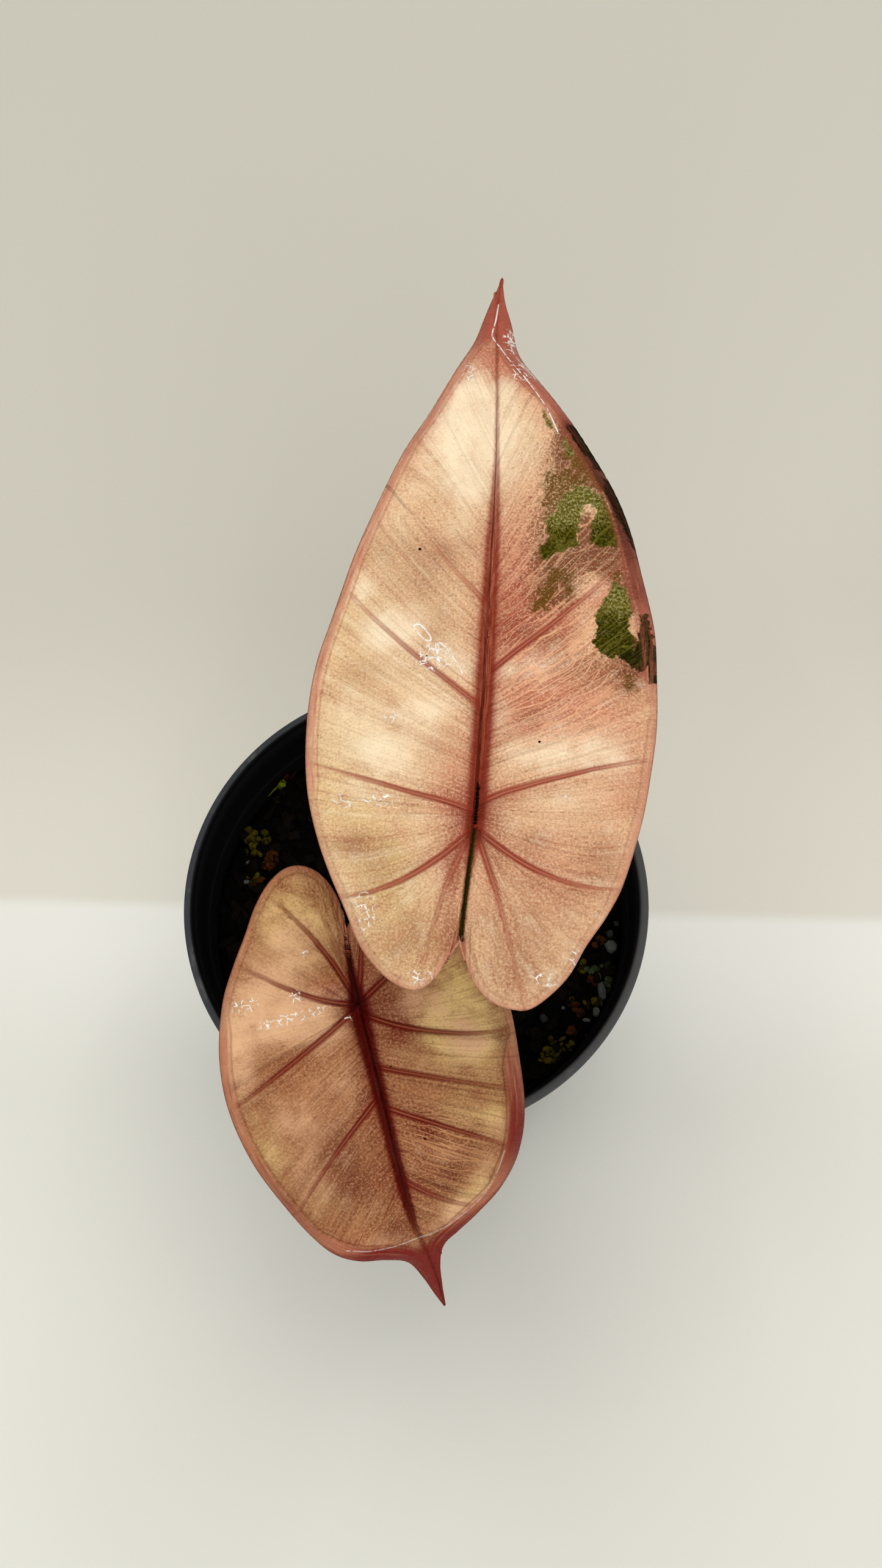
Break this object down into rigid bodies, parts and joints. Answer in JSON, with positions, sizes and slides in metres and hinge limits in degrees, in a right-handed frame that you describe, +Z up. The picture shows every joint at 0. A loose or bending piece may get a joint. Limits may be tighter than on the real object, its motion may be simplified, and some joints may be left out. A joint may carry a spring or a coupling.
{
  "type": "potted plant",
  "caption": "Small aroid with two shield-shaped, strongly veined leaf blades on slender stalks, growing in a round black nursery pot of coarse mix.",
  "frame": {"origin": "centre of the pot's foot, on the surface that it stands on", "axes": "+Z up, +Y the way that the upper leaf's tip points, +X to the right seen from the lower leaf's side"},
  "size_m": [0.1006, 0.1945, 0.1648],
  "materials": {
    "pot_plastic": "satin",
    "potting_mix": "matte",
    "crown": "matte",
    "stalk_upper": "satin",
    "stalk_lower": "satin",
    "leaf_upper": "gloss",
    "leaf_lower": "gloss"
  },
  "bodies": {
    "root": {"pot": "pot_plastic", "soil": "potting_mix", "crown": "crown", "petiole_upper": "stalk_upper", "petiole_lower": "stalk_lower", "blade_upper": "leaf_upper", "blade_lower": "leaf_lower"}
  },
  "joints": []
}
